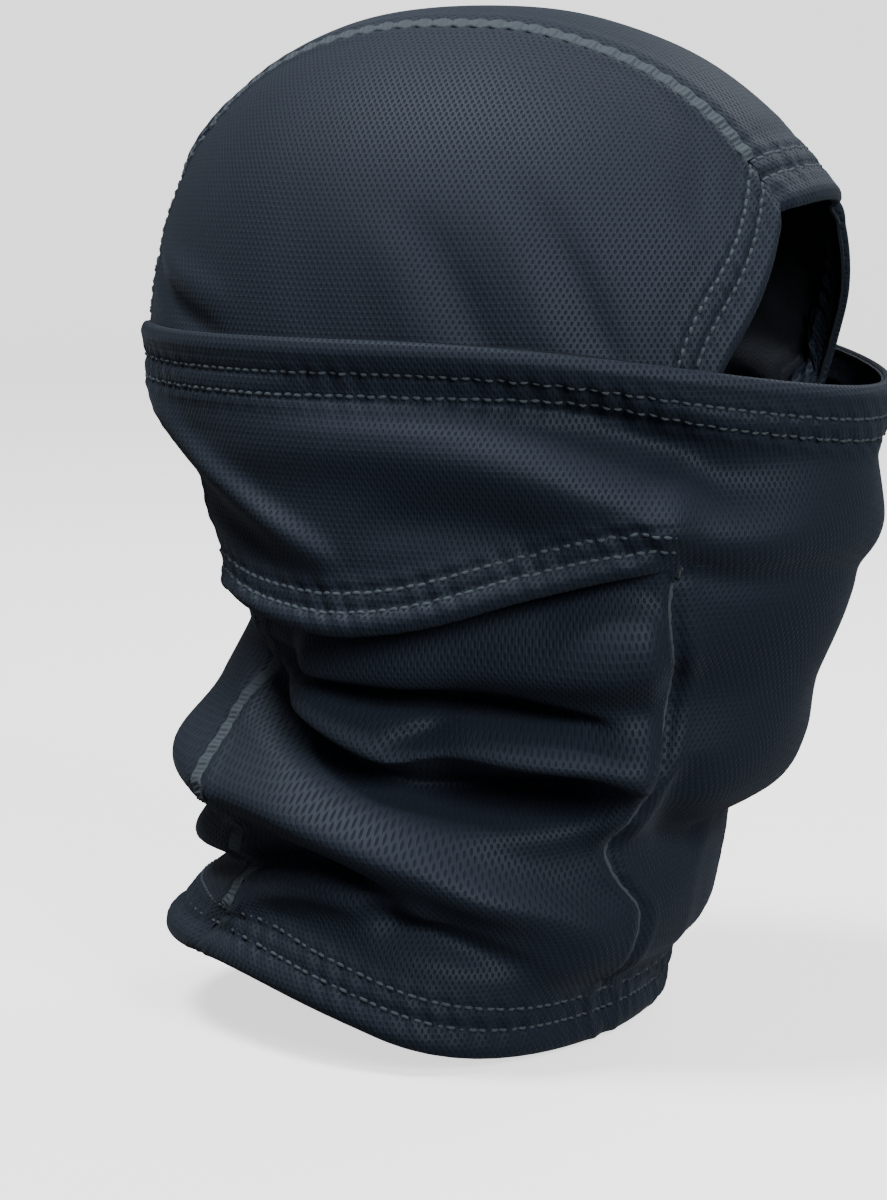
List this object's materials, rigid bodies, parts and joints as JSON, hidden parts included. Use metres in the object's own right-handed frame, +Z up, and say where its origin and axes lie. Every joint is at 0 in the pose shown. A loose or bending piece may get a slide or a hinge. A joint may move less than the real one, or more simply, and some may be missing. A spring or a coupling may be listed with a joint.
{
  "type": "balaclava",
  "caption": "Fleece-lined knit balaclava as worn: hood with an eye opening, a pull-down face mask with wings sewn in at the nape, and a bunched neck tube with a hemmed lower edge.",
  "frame": {"origin": "centre of the head that wears it, midway between the ears", "axes": "+Z up along the head, -Y the way the face looks, -X the wearer's right"},
  "size_m": [0.1754, 0.226, 0.2908],
  "materials": {
    "knit": "charcoal bird-eye mesh knit with a soft sheen",
    "hem": "the same knit turned in and pressed",
    "thread": "textured polyester thread"
  },
  "bodies": {
    "neck_and_hood": {"brow_hem": "hem", "brow_stitch_inner": "thread", "brow_stitch_outer": "thread", "centre_strip": "knit", "crown_seam_left": "thread", "crown_seam_right": "thread", "face_hem_left": "hem", "face_hem_right": "hem", "face_stitch_inner_left": "thread", "face_stitch_inner_right": "thread", "face_stitch_outer_left": "thread", "face_stitch_outer_right": "thread", "front_panel": "knit", "front_seam_left": "thread", "front_seam_right": "thread", "nape_seam_left": "thread", "nape_seam_right": "thread", "neck_hem": "hem", "neck_stitch_lower": "thread", "neck_stitch_upper": "thread", "side_panel_left": "knit", "side_panel_right": "knit"},
    "mask": {"mask_panel": "knit", "mask_top_hem": "hem", "mask_top_stitch_lower": "thread", "mask_top_stitch_upper": "thread", "wing_hem_left": "hem", "wing_hem_right": "hem", "wing_stitch_lower_left": "thread", "wing_stitch_lower_right": "thread", "wing_stitch_upper_left": "thread", "wing_stitch_upper_right": "thread"}
  },
  "joints": [
    {"name": "mask_pull_down", "type": "hinge", "parent": "neck_and_hood", "child": "mask", "pos_m": [0, 0.088, 0.032], "axis": [1, 0, 0], "range_deg": [0, 24]}
  ]
}
